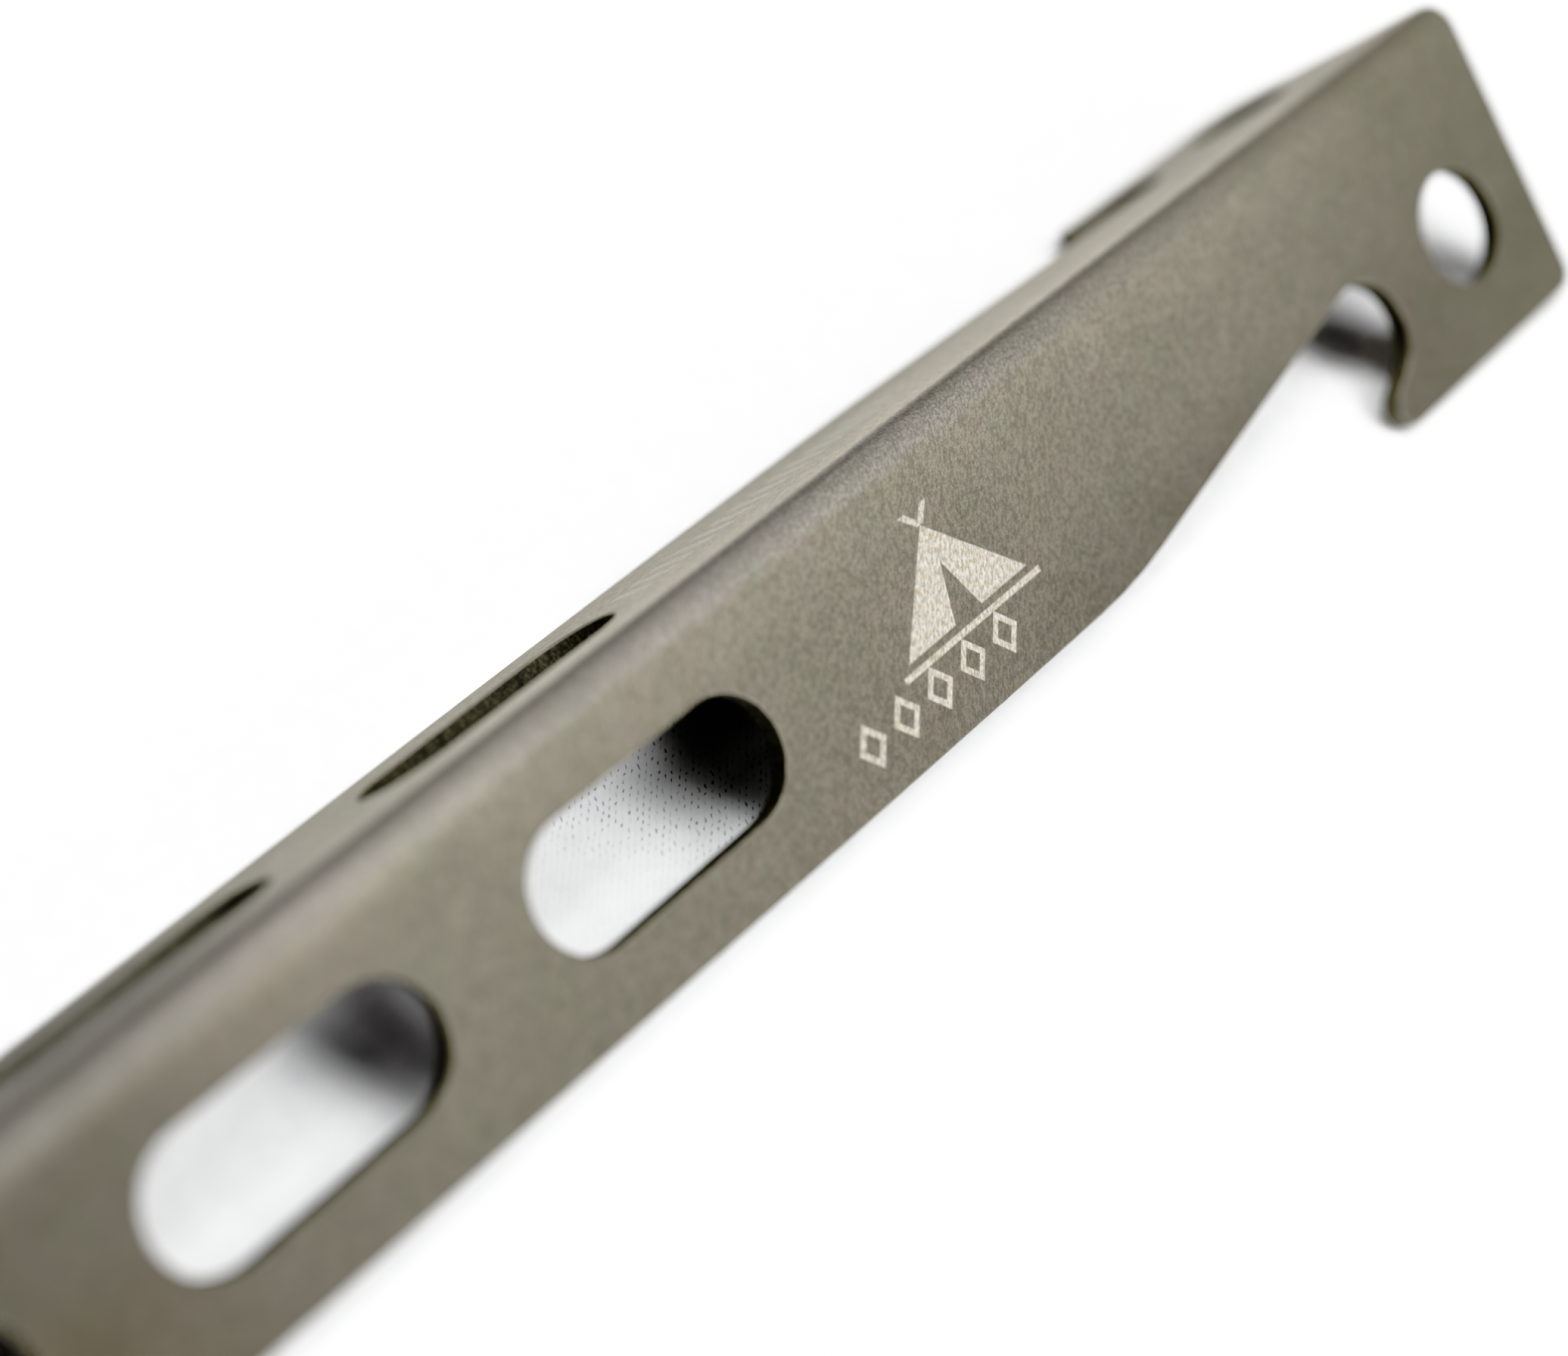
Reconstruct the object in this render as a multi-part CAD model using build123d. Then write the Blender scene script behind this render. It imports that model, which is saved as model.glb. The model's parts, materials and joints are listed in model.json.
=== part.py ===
from build123d import *
import math
import os

# Tent stake: one blank of thin titanium sheet, slotted, notched and folded
# once along its length into a V channel.  Units are mm, +Z is up.
#
# Frame: the stake lies along X with its ridge up, head end at +X and point
# at -X.  The origin is at the bottom centre of the bounding box.
#
# Places on a flange are (along, across):
#   along   distance from the head end towards the point
#   across  distance down the flange from the sharp line where the two outer
#           flange planes would meet
# Side -1 is the -Y flange, +1 the +Y flange.

SIDES = (-1, 1)

# ---- sheet and fold ----
LENGTH = 165.0            # head end to point
SHEET = 1.0               # sheet thickness
V_ANGLE = 84.0            # angle between the two flanges, inside the V
BEND_R = 1.3              # outer radius of the fold

# ---- flange outline; widths are measured across, to the free edge ----
HEAD_W = 14.23
HEAD_CORNER_R = 1.0       # outer corner of the head
HOOK_TIP_R = 0.88
HOOK_TIP_ALONG = 14.0     # reach of the hook tip towards the point
HOOK_SLOPE = 0.554        # slope of the hook's inner edge
SEAT_CENTRE = (13.66, 9.93)  # round guy-line seat behind the hook
SEAT_R = 2.4
RAMP_SLOPE = 0.202        # slope of the lead-in from body edge to seat
RAMP_BLEND_R = 22.0       # blend between lead-in and body edge
BODY_W = 11.1
TAPER_ALONG = 129.0       # where the flanges start to narrow
TAPER_BLEND_R = 25.0      # blend at the start of the taper
POINT_W = 2.6             # width at the point, before rounding
POINT_R = 1.4             # rounding of the point

# ---- holes and slots in each flange ----
HOLE_PLACE = (5.48, 8.72)
HOLE_D = 4.95
SLOT_COUNT = 5
FIRST_SLOT_ALONG = 55.46
SLOT_PITCH = 16.6
SLOT_ACROSS = 6.05
SLOT_W = 4.9
SLOT_L = 11.95

# ---- edge softening from blasting and tumbling ----
EDGE_R = 0.12

# ---- cutters: reach to each side of a flange's outer face, and overhang ----
TRIM_DEPTH = 3.0
HOLE_DEPTH = 1.9
END_MARGIN = 2.0          # past the head end and the point
SIDE_MARGIN = 6.0         # past the free edge of the head

HALF_ANGLE = math.radians(V_ANGLE / 2)
SIN_HALF = math.sin(HALF_ANGLE)
COS_HALF = math.cos(HALF_ANGLE)

# height of the sharp line above the lowest corners of the unrounded section
APEX_Z = HEAD_W * COS_HALF + SHEET * SIN_HALF


# ---- drawing helpers ----
def arc(centre, radius, start, end):
    """Start, middle and end points of an arc, from its angles in degrees."""
    angles = [math.radians(a) for a in (start, (start + end) / 2, end)]
    return [(centre[0] + radius * math.cos(a), centre[1] + radius * math.sin(a))
            for a in angles]


def closed_face(plane, runs):
    """Face bounded by runs: single points or three-point arcs, joined by lines."""
    with BuildSketch(plane) as sketch:
        with BuildLine():
            previous = runs[-1][-1]
            for run in runs:
                if run[0] != previous:
                    Line(previous, run[0])
                if len(run) == 3:
                    ThreePointArc(*run)
                previous = run[-1]
        make_face()
    return sketch.sketch


def flange_normal(side):
    return Vector(0, side * COS_HALF, SIN_HALF)


def flange_plane(side):
    """Outer face of a flange: local x along +X, local z outward."""
    return Plane(origin=(0, 0, APEX_Z), x_dir=(1, 0, 0), z_dir=flange_normal(side))


def local(side, place):
    """Coordinates on the flange plane of an (along, across) place."""
    along, across = place
    return (LENGTH / 2 - along, side * across)


# ---- folded channel before cutting ----
def channel():
    """Outer V with its rounded fold and, one sheet inside it, the inner V."""
    def free_corner(side, depth):
        y = side * (HEAD_W * SIN_HALF - depth * COS_HALF)
        z = APEX_Z - HEAD_W * COS_HALF - depth * SIN_HALF
        return [(y, z)]

    fold_centre = (0, APEX_Z - BEND_R / SIN_HALF)
    right = V_ANGLE / 2       # angle of the +Y flange's outward normal
    left = 180 - right
    section = closed_face(Plane.YZ, [
        free_corner(-1, 0),
        arc(fold_centre, BEND_R, left, right),
        free_corner(1, 0),
        free_corner(1, SHEET),
        arc(fold_centre, BEND_R - SHEET, right, left),
        free_corner(-1, SHEET),
    ])
    return extrude(section, amount=LENGTH / 2, both=True)


# ---- flange outline ----
def free_edge():
    """Runs of (along, across) places following the free edge, head to point."""
    hook_angle = math.degrees(math.atan(HOOK_SLOPE))
    hook_centre = (HOOK_TIP_ALONG - HOOK_TIP_R, HEAD_W - HOOK_TIP_R)

    # the lead-in leaves the seat tangentially and climbs to the body edge
    ramp = math.atan(RAMP_SLOPE)
    ramp_angle = math.degrees(ramp)
    seat = arc(SEAT_CENTRE, SEAT_R, 90 + hook_angle, 270 + ramp_angle)
    seat_end = seat[-1]
    ramp_top = seat_end[0] + (BODY_W - seat_end[1]) / RAMP_SLOPE
    body_start = ramp_top + RAMP_BLEND_R * math.tan(ramp / 2)

    taper = math.atan((BODY_W - POINT_W) / (LENGTH - TAPER_ALONG))
    taper_angle = math.degrees(taper)
    body_end = TAPER_ALONG - TAPER_BLEND_R * math.tan(taper / 2)

    point_cut = POINT_R * math.tan((math.pi / 2 - taper) / 2)
    point_centre = (LENGTH - POINT_R, POINT_W - point_cut)
    return [
        arc((HEAD_CORNER_R, HEAD_W - HEAD_CORNER_R), HEAD_CORNER_R, 180, 90),
        arc(hook_centre, HOOK_TIP_R, 90, 0),
        arc(hook_centre, HOOK_TIP_R, 0, hook_angle - 90),
        seat,
        arc((body_start, BODY_W - RAMP_BLEND_R), RAMP_BLEND_R, 90 + ramp_angle, 90),
        arc((body_end, BODY_W - TAPER_BLEND_R), TAPER_BLEND_R, 90, 90 - taper_angle),
        arc(point_centre, POINT_R, 90 - taper_angle, 0),
    ]


def waste(side):
    """What is trimmed away from one flange, outside its free edge."""
    edge = free_edge()
    far = HEAD_W + SIDE_MARGIN
    runs = [
        [(-END_MARGIN, far)],
        [(-END_MARGIN, HEAD_W - HEAD_CORNER_R)],
        *edge,
        [(LENGTH + END_MARGIN, edge[-1][-1][1])],
        [(LENGTH + END_MARGIN, far)],
    ]
    local_runs = [[local(side, place) for place in run] for run in runs]
    return extrude(closed_face(flange_plane(side), local_runs),
                   amount=TRIM_DEPTH, both=True)


def holes(side):
    """Round head hole and the row of slots in one flange."""
    slots = [local(side, (FIRST_SLOT_ALONG + i * SLOT_PITCH, SLOT_ACROSS))
             for i in range(SLOT_COUNT)]
    with BuildSketch(flange_plane(side)) as sketch:
        with Locations(local(side, HOLE_PLACE)):
            Circle(HOLE_D / 2)
        with Locations(*slots):
            SlotOverall(SLOT_L, SLOT_W)
    return extrude(sketch.sketch, amount=HOLE_DEPTH, both=True)


# ---- edges to soften ----
def is_fold_seam(edge, direction):
    """Smooth seam where a flat flange runs into the fold."""
    centre = edge.center()
    return (abs(direction.X) >= 0.999
            and abs(centre.Y) < BEND_R * 1.05
            and centre.Z > APEX_Z - BEND_R * 2.2)


def is_through_sheet(edge, direction):
    """Short edge through the sheet thickness, along a flange normal."""
    return (edge.length < SHEET * 1.05
            and max(abs(direction.dot(flange_normal(side))) for side in SIDES) > 0.99)


def is_softened(edge):
    if edge.geom_type != GeomType.LINE:
        return True
    direction = edge.tangent_at(0.5)
    return not (is_fold_seam(edge, direction) or is_through_sheet(edge, direction))


# ---- build ----
def stake_body():
    body = channel()
    for side in SIDES:
        body = body - waste(side) - holes(side)
    # keep the stake itself, without any sliver left by the cuts
    body = body.solids().sort_by(SortBy.VOLUME)[-1]
    body = fillet([edge for edge in body.edges() if is_softened(edge)], EDGE_R)
    body = body.solids()[0]

    # origin to the bottom centre of the bounding box
    box = body.bounding_box()
    body = body.moved(Location((-(box.min.X + box.max.X) / 2,
                                -(box.min.Y + box.max.Y) / 2,
                                -box.min.Z)))
    body.label = "stake_body"
    return body


os.makedirs("parts", exist_ok=True)
export_step(stake_body(), "parts/stake_body.step")
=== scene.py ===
import bpy, bmesh, json, math
from mathutils import Vector, Matrix


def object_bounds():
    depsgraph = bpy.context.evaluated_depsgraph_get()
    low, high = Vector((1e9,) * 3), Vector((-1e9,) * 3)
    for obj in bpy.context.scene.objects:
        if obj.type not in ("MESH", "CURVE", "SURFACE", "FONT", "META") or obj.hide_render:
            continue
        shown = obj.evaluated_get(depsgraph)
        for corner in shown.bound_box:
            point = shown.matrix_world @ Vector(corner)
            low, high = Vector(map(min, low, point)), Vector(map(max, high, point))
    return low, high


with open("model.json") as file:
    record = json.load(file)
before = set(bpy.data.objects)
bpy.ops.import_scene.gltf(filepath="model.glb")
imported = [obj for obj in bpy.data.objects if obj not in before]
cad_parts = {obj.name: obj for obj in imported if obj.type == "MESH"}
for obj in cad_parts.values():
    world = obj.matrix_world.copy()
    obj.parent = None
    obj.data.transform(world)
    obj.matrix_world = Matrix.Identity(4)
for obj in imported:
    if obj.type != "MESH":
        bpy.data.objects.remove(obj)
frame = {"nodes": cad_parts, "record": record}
cad_lo, cad_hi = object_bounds()

MM = 0.001
sc = bpy.context.scene
stake = frame["nodes"]["stake_body"]

# ------------------------------------------------------------------ frame data
# The record's mounts give the fold: both head holes lie on the flange planes,
# so their axes are the flange normals.
mounts = {m["name"]: m for m in frame["record"]["mounts"]}
n_front = Vector(mounts["guy_hole_front"]["axis"]).normalized()
AL = math.asin(n_front.z)                      # half the V angle
SA, CA = math.sin(AL), math.cos(AL)
HX = cad_hi.x                                  # x of the head end
p_hole = Vector(mounts["guy_hole_front"]["pos_m"])
SHEET = 1.0 * MM
# outer flange plane: n . p = PLANE
PLANE = n_front.dot(p_hole) + SHEET / 2
APEX = PLANE / SA                              # z of the sharp fold line


# ------------------------------------------------------------------ node helper
class N:
    """Small helper that writes shader node chains."""

    def __init__(self, tree):
        self.t = tree
        self.n = tree.nodes
        self.l = tree.links

    def add(self, kind, **kw):
        nd = self.n.new(kind)
        for k, v in kw.items():
            setattr(nd, k, v)
        return nd

    def put(self, sock, v):
        if hasattr(v, "is_output"):
            self.l.new(v, sock)
        else:
            sock.default_value = v

    def m(self, op, a, b=None, c=None, clamp=False):
        nd = self.add("ShaderNodeMath", operation=op, use_clamp=clamp)
        self.put(nd.inputs[0], a)
        if b is not None:
            self.put(nd.inputs[1], b)
        if c is not None:
            self.put(nd.inputs[2], c)
        return nd.outputs[0]

    def add_(self, a, b): return self.m("ADD", a, b)
    def sub(self, a, b): return self.m("SUBTRACT", a, b)
    def mul(self, a, b, clamp=False): return self.m("MULTIPLY", a, b, clamp=clamp)
    def mn(self, a, b): return self.m("MINIMUM", a, b)
    def mx(self, a, b): return self.m("MAXIMUM", a, b)
    def ab(self, a): return self.m("ABSOLUTE", a)

    def ramp(self, v, lo, hi, a=0.0, b=1.0, smooth=True):
        nd = self.add("ShaderNodeMapRange",
                      interpolation_type="SMOOTHSTEP" if smooth else "LINEAR")
        self.put(nd.inputs[0], v)
        self.put(nd.inputs[1], lo)
        self.put(nd.inputs[2], hi)
        self.put(nd.inputs[3], a)
        self.put(nd.inputs[4], b)
        return nd.outputs[0]

    def vec(self, op, a, b=None):
        nd = self.add("ShaderNodeVectorMath", operation=op)
        self.put(nd.inputs[0], a)
        if b is not None:
            self.put(nd.inputs[1], b)
        return nd.outputs["Value"] if op in ("DOT_PRODUCT", "LENGTH", "DISTANCE") else nd.outputs["Vector"]

    def xyz(self, x, y, z):
        nd = self.add("ShaderNodeCombineXYZ")
        for i, v in enumerate((x, y, z)):
            self.put(nd.inputs[i], v)
        return nd.outputs[0]

    def sep(self, v):
        nd = self.add("ShaderNodeSeparateXYZ")
        self.put(nd.inputs[0], v)
        return nd.outputs

    def noise(self, v, scale, detail=2.0, rough=0.5, dist=0.0, out="Fac"):
        nd = self.add("ShaderNodeTexNoise")
        self.put(nd.inputs["Vector"], v)
        nd.inputs["Scale"].default_value = scale
        nd.inputs["Detail"].default_value = detail
        nd.inputs["Roughness"].default_value = rough
        nd.inputs["Distortion"].default_value = dist
        return nd.outputs[out]

    def voronoi(self, v, scale, feature="F1", out="Distance", rand=1.0):
        nd = self.add("ShaderNodeTexVoronoi", feature=feature)
        self.put(nd.inputs["Vector"], v)
        nd.inputs["Scale"].default_value = scale
        nd.inputs["Randomness"].default_value = rand
        return nd.outputs[out]

    def mix(self, f, a, b, mode="MIX"):
        nd = self.add("ShaderNodeMix", data_type="RGBA", blend_type=mode)
        self.put(nd.inputs[0], f)
        self.put(nd.inputs[6], a)
        self.put(nd.inputs[7], b)
        return nd.outputs[2]

    def mixf(self, f, a, b):
        nd = self.add("ShaderNodeMix", data_type="FLOAT")
        self.put(nd.inputs[0], f)
        self.put(nd.inputs[2], a)
        self.put(nd.inputs[3], b)
        return nd.outputs[0]


def material(name):
    mat = bpy.data.materials.new(name)
    mat.use_nodes = True
    mat.node_tree.nodes.clear()
    g = N(mat.node_tree)
    out = g.add("ShaderNodeOutputMaterial")
    bs = g.add("ShaderNodeBsdfPrincipled")
    g.l.new(bs.outputs[0], out.inputs[0])
    return mat, g, bs


# ------------------------------------------------------------------ titanium
# laser mark on the front flange (mm, s from the head end, t across the flange)
TENT = (39.58, 3.7, 7.55, 3.55)       # ridge s, top t, ground t, half width
ROW_S, ROW_STEP, ROW_T = 38.48, 1.95, 9.0
# row of plain bars on the back flange
BARS_S, BARS_STEP, BARS_T = (32.48, 48.18), 2.2, (4.9, 7.6)


def smooth(g, v, edge, soft):
    """1 where v < edge, falling to 0 over soft."""
    return g.ramp(v, edge + soft, edge - soft)


def front_mark(g, s, t):
    """A plain tent and a row of lozenges."""
    s0, t0, t1, hw = TENT
    h = t1 - t0
    slope = hw / h
    k = 1.0 / math.hypot(1.0, slope)
    ds = g.ab(g.sub(s, s0))
    dt = g.sub(t, t0)
    # outer triangle: distance outside either slope or the ground
    tri = g.mx(g.mul(g.sub(ds, g.mul(dt, slope)), k), g.sub(t, t1))
    # door: narrow triangle cut from the ground upwards
    dd = g.sub(dt, 1.55)
    door = g.mx(g.mul(g.sub(ds, g.mul(dd, 0.34)), 0.95), g.sub(1.55, dt))
    body = g.mn(smooth(g, tri, 0.0, 0.035), g.sub(1.0, smooth(g, door, 0.0, 0.035)))
    # crossed pole ends above the top
    poles = g.mx(g.ab(g.sub(ds, g.mul(g.mul(dt, -1.0), slope))), g.ab(g.add_(dt, 0.42)))
    pole = g.mul(smooth(g, g.mul(g.ab(g.add_(ds, g.mul(dt, slope))), k), 0.13, 0.035),
                 g.mul(g.ramp(dt, 0.02, -0.02), g.ramp(dt, -0.72, -0.66)))
    # ground line
    ground = g.mul(smooth(g, g.ab(g.sub(t, t1 + 0.42)), 0.13, 0.035),
                   smooth(g, ds, hw + 0.5, 0.035))
    m = g.mx(g.mx(body, pole), ground)
    # row of hollow lozenges
    rs = g.sub(s, ROW_S)
    cell = g.m("ROUND", g.mul(rs, 1.0 / ROW_STEP))
    cell = g.mn(g.mx(cell, 0.0), 4.0)
    ls = g.ab(g.sub(rs, g.mul(cell, ROW_STEP)))
    lt = g.ab(g.sub(t, ROW_T))
    lz = g.add_(g.mul(ls, 1.0), g.mul(lt, 0.80))
    ring = smooth(g, g.ab(g.sub(lz, 0.58)), 0.16, 0.035)
    return g.mx(m, ring)


def back_mark(g, s, t):
    """A row of plain upright bars."""
    (a, b), (c, d) = BARS_S, BARS_T
    ph = g.m("PINGPONG", g.add_(g.sub(s, a), BARS_STEP / 4), BARS_STEP / 2)
    bar = smooth(g, g.ab(g.sub(ph, BARS_STEP / 4)), 0.26, 0.06)
    box = g.mul(g.mul(g.ramp(s, a - 0.05, a + 0.05), g.ramp(s, b + 0.05, b - 0.05)),
                g.mul(g.ramp(t, c - 0.06, c + 0.06), g.ramp(t, d + 0.06, d - 0.06)))
    return g.mul(bar, box)


def titanium():
    mat, g, bs = material("blasted_titanium")
    tc = g.add("ShaderNodeTexCoord")
    P = tc.outputs["Object"]
    geo = g.add("ShaderNodeNewGeometry")
    x, y, z = g.sep(P)
    nrm = geo.outputs["True Normal"]
    side = g.m("SIGN", y)

    # flange coordinates in mm: s from the head end, t across the flange
    s = g.mul(g.sub(HX, x), 1000.0)
    t = g.mul(g.add_(g.mul(g.sub(APEX, z), CA), g.mul(g.ab(y), SA)), 1000.0)
    # own flange normal . surface normal: 1 outer face, -1 inner face, 0 wall
    nx, ny, nz = g.sep(nrm)
    d = g.add_(g.mul(g.mul(ny, side), CA), g.mul(nz, SA))
    ad = g.ab(d)
    deep = g.sub(g.mul(g.add_(g.mul(g.ab(y), CA), g.mul(z, SA)), 1000.0), PLANE * 1000)
    q = g.xyz(s, g.mul(t, side), deep)                  # texture space, mm
    # the sheet's rolling direction runs slantwise across the flange
    lay = g.xyz(g.mul(g.add_(g.mul(s, 0.55), g.mul(t, 0.84)), 0.42),
                g.sub(g.mul(s, 0.84), g.mul(t, 0.55)), g.mul(g.add_(deep, g.mul(side, 3.0)), 1.0))

    on_fold = g.ramp(t, 1.6, 1.0)                       # 1 on the fold
    wall = g.mul(g.ramp(ad, 0.45, 0.15), g.sub(1.0, on_fold))
    inner = g.ramp(d, -0.2, -0.6)
    edge = g.mul(g.mul(g.ramp(ad, 0.15, 0.5), g.ramp(ad, 0.985, 0.8)), g.sub(1.0, on_fold))

    # --- blasted and rolled grain
    fine = g.noise(lay, 10.5, 2.0, 0.6)
    grit = g.noise(q, 11.0, 2.0, 0.6)
    mid = g.noise(lay, 2.4, 2.0, 0.5)
    broad = g.noise(q, 0.30, 2.0, 0.5)
    broad2 = g.noise(q, 0.09, 1.0, 0.5)
    tint = g.noise(lay, 1.1, 2.0, 0.6, out="Color")

    base = g.mix(g.ramp(broad, 0.35, 0.65), (0.121, 0.1122, 0.088, 1), (0.130, 0.118, 0.095, 1))
    base = g.mix(g.ramp(broad2, 0.35, 0.65, 0.0, 0.5), base, (0.119, 0.1112, 0.087, 1))
    base = g.mix(0.035, base, tint, "OVERLAY")
    base = g.mix(g.mul(g.ramp(s, 74.0, 84.0), g.ramp(t, 4.5, 7.5)), base, g.vec("MULTIPLY", base, (0.895, 0.835, 0.795)))
    base = g.mix(g.mul(on_fold, g.ramp(s, 4.0, 42.0)), base, g.vec("MULTIPLY", base, (1.0, 1.01, 1.13)))
    base = g.mix(g.mul(g.ramp(s, 14.0, 5.0), g.ramp(side, 0.5, -0.5)), base, g.vec("MULTIPLY", base, (1.0, 1.008, 0.965)))
    gain = g.ramp(fine, 0.36, 0.64, 0.76, 1.24)
    gain = g.mul(gain, g.ramp(grit, 0.36, 0.64, 0.85, 1.15))
    gain = g.mul(gain, g.add_(1.0, g.mul(g.sub(mid, 0.5), 0.10)))
    # painted shade: darker towards the free edge
    gain = g.mul(gain, g.ramp(t, 1.0, 10.5, 1.10, 0.86, smooth=False))
    # painted shade: the head is painted darker than the body, and so is the fold near it
    gain = g.mul(gain, g.ramp(s, 3.0, 22.0, 0.88, 1.0))
    # painted shade: darker again past s 64, and in a band just off the fold past s 54
    gain = g.mul(gain, g.sub(1.0, g.mul(g.mul(g.ramp(s, 64.0, 80.0), g.ramp(s, 106.0, 86.0)), 0.28)))
    gain = g.mul(gain, g.sub(1.0, g.mul(g.mul(g.ramp(s, 54.0, 66.0), g.ramp(t, 1.5, 2.5)), 0.07)))
    # painted highlight and shade on the bend: paler along the fold and its crest and in a band below it, with a
    # dark crease line and a paler strip on the far side
    back = g.ramp(side, -0.5, 0.5)
    gain = g.mul(gain, g.mixf(on_fold, 1.0, g.ramp(s, 25.0, 44.0, 1.03, 1.28)))
    gain = g.mul(gain, g.mixf(g.ramp(t, 0.95, 0.55), 1.0, g.ramp(s, 28.0, 44.0, 1.16, 1.05)))
    gain = g.mul(gain, g.add_(1.0, g.mul(g.mul(g.ramp(t, 4.5, 1.6), g.ramp(t, 1.0, 1.5)), g.ramp(s, 6.0, 14.0, 0.0, 0.13))))
    gain = g.mul(gain, g.sub(1.0, g.mul(g.mul(back, g.ramp(t, 0.6, 0.85)), g.ramp(t, 1.5, 1.1, 0.0, 0.17))))
    gain = g.mul(gain, g.add_(1.0, g.mul(back, g.ramp(t, 1.2, 1.6, 0.0, 0.12))))
    # painted sheen: surfaces seen edge-on are painted paler, and faces seen squarely a little darker as painted
    # shade
    lw = g.add("ShaderNodeLayerWeight")
    lw.inputs["Blend"].default_value = 0.5
    gain = g.mul(gain, g.ramp(lw.outputs["Facing"], 0.50, 0.85, 1.0, 2.5))
    gain = g.mul(gain, g.ramp(lw.outputs["Facing"], 0.075, 0.115, 0.74, 1.0))
    # painted shade: a patch near the free edge between s 18 and 31
    gain = g.mul(gain, g.sub(1.0, g.mul(g.mul(g.ramp(s, 18.0, 20.5), g.ramp(s, 31.0, 26.0)), g.ramp(t, 7.5, 9.8, 0.0, 0.08))))
    # painted highlight: the far flange is painted paler where it is looked at squarely
    gain = g.mul(gain, g.add_(1.0, g.mul(g.mul(g.mul(back, g.ramp(d, 0.5, 0.9)), g.ramp(t, 1.3, 2.2)),
                                         g.ramp(lw.outputs["Facing"], 0.66, 0.46, 0.0, 0.85))))
    # painted shade: seen along the sheet, the far flange is painted darker past the first slot, and the near side
    # of the crest paler as painted highlight
    low2 = g.ramp(s, 64.0, 74.0)
    gain = g.mul(gain, g.sub(1.0, g.mul(g.mul(g.mul(back, low2), g.ramp(lw.outputs["Facing"], 0.68, 0.84)), 0.40)))
    gain = g.mul(gain, g.add_(1.0, g.mul(g.mul(g.sub(1.0, back), low2), g.mul(g.ramp(t, 0.7, 0.95), g.ramp(t, 1.9, 1.3, 0.0, 0.10)))))
    # painted highlight and shade: further down the sheet the crest is painted paler and the flange behind it
    # darker, so it stands out more, with a darker band below it
    low = g.ramp(s, 56.0, 64.0)
    gain = g.mul(gain, g.sub(1.0, g.mul(g.mul(g.mul(back, low), g.ramp(t, 0.55, 0.8)), 0.10)))
    gain = g.mul(gain, g.add_(1.0, g.mul(g.mul(g.mul(g.sub(1.0, back), low), g.ramp(t, 0.6, 0.85)), g.ramp(t, 1.9, 1.3, 0.0, 0.18))))
    gain = g.mul(gain, g.sub(1.0, g.mul(g.mul(low, g.ramp(t, 1.8, 2.1)), g.ramp(t, 4.0, 3.0, 0.0, 0.07))))
    # painted shade: towards the head the flange is painted darker faster towards its free edge
    gain = g.mul(gain, g.mixf(g.mul(g.ramp(s, 6.0, 12.0), g.ramp(s, 42.0, 32.0)), 1.0, g.ramp(t, 6.0, 10.5, 1.05, 0.88)))
    # inner faces: painted darker as painted shade inside the V, least so on the open hooks, which are painted
    # paler
    gain = g.mul(gain, g.mixf(inner, 1.0, g.ramp(s, 20.0, 40.0, 1.25, 0.36)))
    base = g.vec("SCALE", base)
    g.put(base.node.inputs["Scale"], gain)

    # --- pale edges: the rounded cut edges are painted a little paler, partly wear and partly painted highlight where the rims catch light
    base = g.mix(g.mul(edge, g.ramp(mid, 0.3, 0.6, 0.1, 0.5)), base, (0.25, 0.24, 0.20, 1))

    # --- cut walls: streaky through the thickness, and painted near black as painted shade inside the openings
    streak = g.noise(g.xyz(g.mul(s, 1.0), g.mul(t, 1.0), g.mul(g.add_(g.ab(y), z), 150.0)), 9.0, 3.0, 0.65)
    rough_n = g.noise(P, 9000.0, 2.0, 0.6)
    wcol = g.mix(g.ramp(g.mul(g.add_(streak, rough_n), 0.5), 0.35, 0.65),
                 (0.010, 0.010, 0.007, 1), (0.052, 0.049, 0.034, 1))
    # painted light and shade: the far flange's walls are painted paler in steps along the sheet, darker just past
    # s 64, and paler again past the first slot
    wgain = g.mixf(g.ramp(s, 64.0, 64.6), g.ramp(s, 55.0, 61.0, 1.0, 1.3), g.ramp(s, 67.0, 75.0, 0.8, 1.45))
    wcol = g.vec("SCALE", wcol)
    g.put(wcol.node.inputs["Scale"], g.mixf(back, 1.0, wgain))
    wcol = g.mix(g.mul(g.mul(back, low2), 0.45), wcol, (0.085, 0.084, 0.076, 1))
    # painted light: the hooks' seats are painted paler than the closed openings, where they take more light
    base = g.mix(wall, base, wcol)
    seat_painted_light = g.mul(g.mul(wall, g.ramp(s, 17.5, 16.0)), g.ramp(t, 10.6, 12.4))
    base = g.mix(g.mul(seat_painted_light, 0.75), base, (0.115, 0.108, 0.078, 1))

    # --- laser marks, frosted and pale
    outer_f = g.mul(g.ramp(d, 0.9, 0.97), g.ramp(side, 0.5, -0.5))
    outer_b = g.mul(g.ramp(d, 0.9, 0.97), g.ramp(side, -0.5, 0.5))
    mk = g.mul(front_mark(g, s, t), outer_f)
    speck = g.noise(lay, 9.0, 3.0, 0.75)
    speck2 = g.noise(q, 2.6, 2.0, 0.6)
    mcol = g.mix(g.ramp(speck, 0.38, 0.62), (0.170, 0.157, 0.125, 1), (0.380, 0.360, 0.312, 1))
    mcol = g.mix(g.ramp(speck2, 0.52, 0.70, 0.0, 0.55), mcol, (0.228, 0.222, 0.205, 1))
    mcol = g.mix(g.ramp(speck2, 0.46, 0.30, 0.0, 0.55), mcol, (0.250, 0.200, 0.125, 1))
    base = g.mix(mk, base, mcol)
    bk = g.mul(g.mul(back_mark(g, s, t), outer_b), g.ramp(speck, 0.30, 0.62, 0.15, 0.85))
    base = g.mix(g.mul(bk, 0.55), base, (0.60, 0.58, 0.53, 1))

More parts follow.
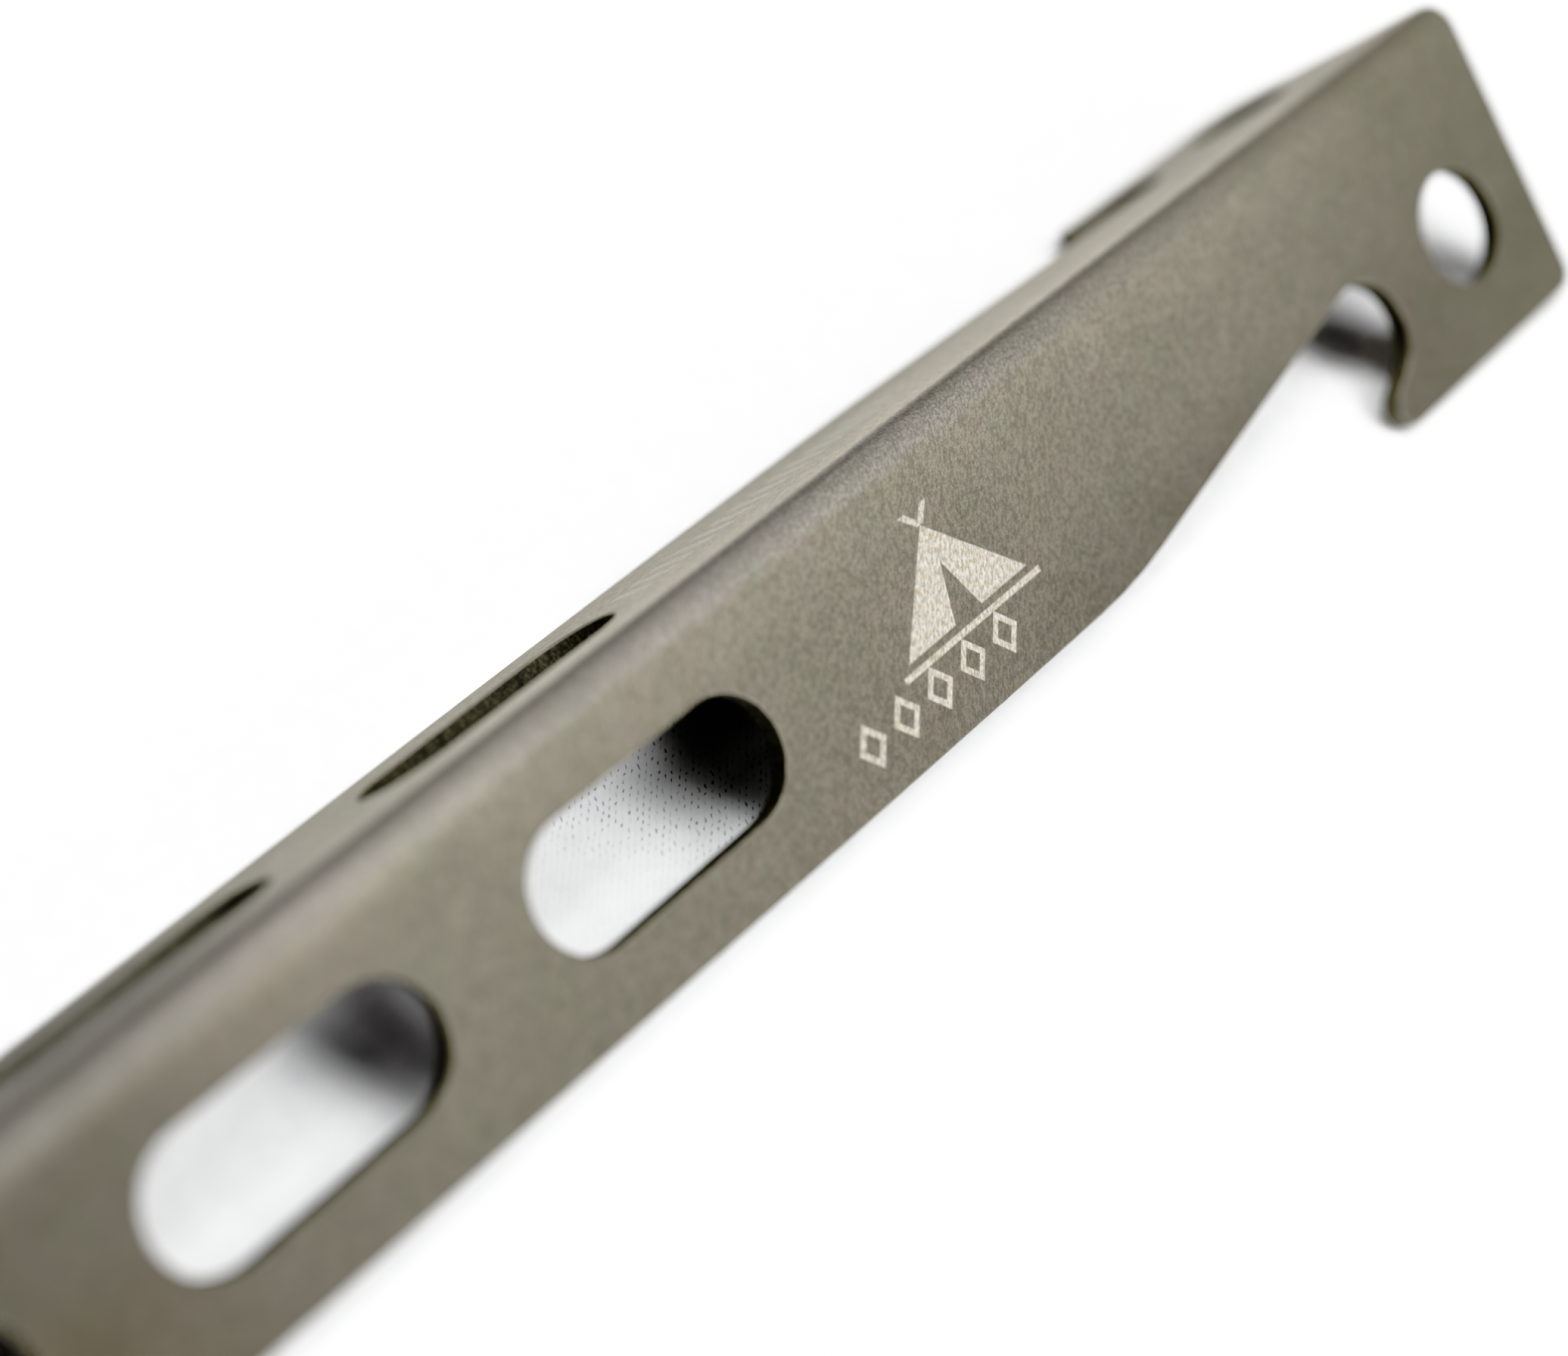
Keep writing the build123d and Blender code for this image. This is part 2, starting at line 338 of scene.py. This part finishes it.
    g.put(bs.inputs["Base Color"], base)
    metal = g.mixf(wall, g.mixf(inner, 0.80, 0.55), 0.35)
    metal = g.mixf(mk, metal, 0.15)
    g.put(bs.inputs["Metallic"], metal)
    rough = g.ramp(fine, 0.2, 0.8, 0.58, 0.72, smooth=False)
    rough = g.mixf(wall, rough, 0.80)
    rough = g.mixf(mk, rough, 0.85)
    g.put(bs.inputs["Roughness"], rough)
    g.put(bs.inputs["Specular IOR Level"], g.mixf(inner, 0.5, 0.15))

    pits = g.voronoi(q, 8.0, "SMOOTH_F1")
    h = g.add_(g.mul(pits, 0.4), g.mul(fine, 0.9))
    h = g.add_(h, g.mul(wall, g.mul(streak, 2.5)))
    h = g.add_(h, g.mul(g.mx(mk, bk), g.add_(0.6, g.mul(speck, 1.2))))
    bump = g.add("ShaderNodeBump")
    bump.inputs["Strength"].default_value = 0.5
    bump.inputs["Distance"].default_value = 0.03 * MM
    g.put(bump.inputs["Height"], h)
    g.put(bs.inputs["Normal"], bump.outputs[0])
    return mat


stake.data.materials.clear()
stake.data.materials.append(titanium())

# ------------------------------------------------------------------ floor
# The stake lies on the head's free edges and on the body's free edges just
# before the taper, so the ground plane is tipped by about a degree.
X0, X1, Z1 = 0.069, -0.0465, 0.002326
tilt = math.atan2(Z1, X0 - X1)


def floor():
    me = bpy.data.meshes.new("floor")
    s_ = 1.2
    me.from_pydata([(-s_, -s_, 0), (s_, -s_, 0), (s_, s_, 0), (-s_, s_, 0)], [], [(0, 1, 2, 3)])
    ob = bpy.data.objects.new("floor", me)
    sc.collection.objects.link(ob)
    ob.location = (X0, 0, -0.00002)
    ob.rotation_euler = (0, tilt, 0)
    mat, g, bs = material("floor_cloth")
    tc = g.add("ShaderNodeTexCoord")
    P = g.vec("MULTIPLY", tc.outputs["Object"], (1000.0, 1000.0, 1000.0))
    fx, fy, fz = g.sep(P)
    X_WEB = -34.3
    # woven cotton: threads about a quarter of a millimetre apart
    wob = g.mul(g.sub(g.noise(P, 1.7, 2.0, 0.5), 0.5), 0.34)
    c, d = math.cos(math.radians(40)), math.sin(math.radians(40))
    u = g.mul(g.add_(g.sub(g.mul(fy, c), g.mul(fx, d)), wob), 1.0 / 0.25)
    v = g.mul(g.add_(g.add_(g.mul(fx, c), g.mul(fy, d)), wob), 1.0 / 0.42)
    row = g.m("FLOOR", u)
    v = g.add_(v, g.mul(row, 0.5))
    hu = g.m("COSINE", g.mul(u, 2 * math.pi))
    hv = g.m("COSINE", g.mul(v, 2 * math.pi))
    rnd = g.noise(g.xyz(g.mul(row, 7.3), g.mul(v, 0.8), 0.0), 1.0, 1.0, 0.5)
    hole = g.mul(g.mul(g.ramp(hu, -0.55, -0.98), g.ramp(hv, 0.35, -0.75)), g.ramp(rnd, 0.36, 0.60))
    thread = g.mul(g.ramp(hu, 0.2, -1.0), 0.10)
    # the gaps show where the light rakes across them and fade where it is full
    hole = g.mul(hole, g.ramp(g.add_(fx, g.mul(fy, 0.65)), -42.0, -38.2, 0.10, 1.0))
    hole = g.mul(hole, g.ramp(g.ab(fy), 5.5, 4.5))
    n = g.noise(P, 0.8, 3.0, 0.6)
    col = g.mix(g.ramp(n, 0.3, 0.7), (0.80, 0.81, 0.83, 1), (0.86, 0.87, 0.885, 1))
    col = g.mix(g.mul(thread, g.ramp(g.ab(fy), 5.5, 4.5)), col, (0.55, 0.55, 0.60, 1))
    col = g.mix(g.mul(hole, 0.80), col, (0.16, 0.16, 0.20, 1))
    # the cloth is painted greyer as painted shadow where the stake covers it most: under the web before
    # the first slot and under the line notch
    web_painted_shadow = g.mul(g.ramp(fx, X_WEB - 2.2, X_WEB, 1.0, 0.64), g.ramp(fx, X_WEB + 16.0, X_WEB + 9.0))
    web_painted_shadow = g.mul(web_painted_shadow, g.mixf(g.ramp(fx, X_WEB - 2.0, X_WEB - 0.6), 1.0, g.ramp(fy, -0.5, -1.5, 1.0, 0.76)))
    web_painted_shadow = g.mul(web_painted_shadow, g.mixf(g.ramp(fy, -0.4, 0.9), 1.0, g.ramp(fx, X_WEB - 3.3, X_WEB - 1.3, 1.0, 0.80)))
    web_painted_shadow = g.add_(web_painted_shadow, g.ramp(fx, X_WEB + 9.0, X_WEB + 16.0))
    X_WEB2 = X_WEB - 16.6
    web2_painted_shadow = g.mul(g.ramp(fx, X_WEB2 - 3.7, X_WEB2 - 2.0, 1.0, 0.56), g.mixf(g.ramp(fx, X_WEB2 - 2.6, X_WEB2 - 1.6), 1.0, g.ramp(fy, -1.0, -2.4, 1.0, 0.70)))
    web_painted_shadow = g.mul(web_painted_shadow, g.mixf(g.ramp(fx, X_WEB2 + 5.5, X_WEB2 + 3.0), 1.0, web2_painted_shadow))
    web_painted_shadow = g.mixf(g.ramp(g.ab(fy), 6.0, 4.8), 1.0, web_painted_shadow)
    bight_painted_shadow = g.mul(g.mul(g.ramp(fx, 6.7, 4.6), g.ramp(fx, 1.2, 2.4)), g.mul(g.ramp(fy, -4.9, -3.8), g.ramp(fy, 1.0, -1.0)))
    shade = g.mul(web_painted_shadow, g.sub(1.0, g.mul(bight_painted_shadow, 0.55)))
    # painted light: the cloth is painted paler just outside the body's free edges
    lip_painted_light = g.mul(g.mul(g.ramp(fy, -6.0, -6.7), g.ramp(fy, -11.0, -9.0)), g.mul(g.ramp(fx, -2.0, -8.0), g.ramp(fx, -60.0, -45.0)))
    shade = g.mul(shade, g.add_(1.0, g.mul(lip_painted_light, 0.17)))
    col = g.vec("SCALE", col)
    g.put(col.node.inputs["Scale"], shade)
    g.put(bs.inputs["Base Color"], col)
    # painted light: the cloth glows faintly under the notch and the second web, standing in for stray light
    stray = g.mul(g.mul(g.ramp(fy, -2.8, -3.9), g.ramp(fy, -7.5, -6.0)), g.mul(g.ramp(fx, 1.5, 2.6), g.ramp(fx, 6.5, 5.0)))
    bs.inputs["Emission Color"].default_value = (1.0, 0.965, 1.01, 1)
    stray2 = g.mul(g.mul(g.ramp(fx, X_WEB2 - 2.2, X_WEB2 - 1.1), g.ramp(fx, X_WEB2 + 4.0, X_WEB2 + 2.0)), g.ramp(g.ab(fy), 4.5, 2.5))
    g.put(bs.inputs["Emission Strength"], g.add_(g.mul(stray, 0.034), g.mul(stray2, 0.040)))
    bs.inputs["Roughness"].default_value = 0.95
    bs.inputs["Specular IOR Level"].default_value = 0.1
    me.materials.append(mat)
    return ob


floor()

# ------------------------------------------------------------------ light
# Two soft boxes overhead, a low window in front and a small one behind,
# written as smooth lobes of a world shader. Each is
# given in the disc the sky makes when it is seen from straight below:
# height, centre a, centre b, widths and turn of the lobe.
LOBES = ((18.92, 0.206, -0.525, 0.136, 0.111, 0.198),
         (20.36, -0.088, -0.055, 0.090, 0.181, 0.275),
         (11.15, 0.327, 0.561, 0.089, 0.075, -0.058),
         (14.83, -0.239, -0.871, 0.204, 0.060, -0.166))
SKY = 1.18          # overall strength
AMBIENT = 0.012     # the dim room around the boxes

world = bpy.data.worlds.new("studio")
sc.world = world
world.use_nodes = True
world.node_tree.nodes.clear()
g = N(world.node_tree)
out = g.add("ShaderNodeOutputWorld")
bg = g.add("ShaderNodeBackground")
g.l.new(bg.outputs[0], out.inputs[0])
tc = g.add("ShaderNodeTexCoord")
wx, wy, wz = g.sep(tc.outputs["Generated"])
total = AMBIENT
for h, a0, b0, sa, sb, th in LOBES:
    da, db = g.sub(wx, a0), g.sub(wy, b0)
    u = g.mul(g.add_(g.mul(da, math.cos(th)), g.mul(db, math.sin(th))), 1.0 / sa)
    v = g.mul(g.sub(g.mul(db, math.cos(th)), g.mul(da, math.sin(th))), 1.0 / sb)
    e = g.m("POWER", math.e, g.mul(g.add_(g.mul(u, u), g.mul(v, v)), -0.5))
    total = g.add_(g.mul(e, h), total)
total = g.mul(g.mul(total, SKY), g.ramp(wz, 0.0, 0.05))
lp = g.add("ShaderNodeLightPath")
total = g.mixf(lp.outputs["Is Camera Ray"], total, 1.75)
bg.inputs[0].default_value = (1.0, 0.995, 0.98, 1)
g.put(bg.inputs[1], total)

# ------------------------------------------------------------------ camera
cam_d = bpy.data.cameras.new("camera")
cam = bpy.data.objects.new("camera", cam_d)
sc.collection.objects.link(cam)
sc.camera = cam
cam_d.sensor_width = 36.0
cam_d.lens = 68.41
cam_d.clip_start = 0.002
cam_d.clip_end = 20.0
cam.rotation_mode = "QUATERNION"
cam.location = Vector((-23.149, -47.141, 82.632)) * MM
cam.rotation_quaternion = Matrix(((0.642215, 0.532509, -0.551357),
                                  (-0.765237, 0.487069, -0.420922),
                                  (0.044404, 0.692241, 0.720299))).to_quaternion()

# focus on the flange between the mark and the first slot; the lens is stopped
# right down when the camera stands further off
focus = bpy.data.objects.new("focus", None)
sc.collection.objects.link(focus)
focus.location = (HX - 0.03728, -0.0027, 0.00813)
cam_d.dof.use_dof = True
cam_d.dof.focus_object = focus
cam_d.dof.aperture_fstop = 15.9
fc = cam_d.driver_add("dof.aperture_fstop")
fc.driver.type = "AVERAGE"
var = fc.driver.variables.new()
var.type = "LOC_DIFF"
var.targets[0].id = cam
var.targets[1].id = focus
for m in list(fc.modifiers):
    fc.modifiers.remove(m)
fc.keyframe_points.add(4)
for kp, (cx, cy) in zip(fc.keyframe_points, ((0.0, 15.9), (0.15, 15.9), (0.2, 128.0), (10.0, 128.0))):
    kp.co = (cx, cy)
    kp.interpolation = "LINEAR"

sc.view_settings.view_transform = "Standard"
sc.view_settings.look = "None"
sc.view_settings.exposure = 0.0
sc.view_settings.use_curve_mapping = True
# a photographic response: deep shadows, a soft shoulder into white
cm = sc.view_settings.curve_mapping
cm.white_level = (2.0, 2.0, 2.0)
cm.extend = "HORIZONTAL"
tone = ((0.0, 0.0), (0.03, 0.0012), (0.06, 0.018), (0.10, 0.078), (0.15, 0.145), (0.5, 0.505),
        (0.70, 0.69), (0.85, 0.80), (1.0, 0.885), (1.2, 0.960), (1.42, 0.996), (1.65, 1.0), (2.0, 1.0))
pts = cm.curves[3].points
while len(pts) < len(tone):
    pts.new(0.5, 0.5)
for p, (tx, ty) in zip(pts, tone):
    p.location = (tx / 2.0, ty)
    p.handle_type = "AUTO_CLAMPED"
cm.update()
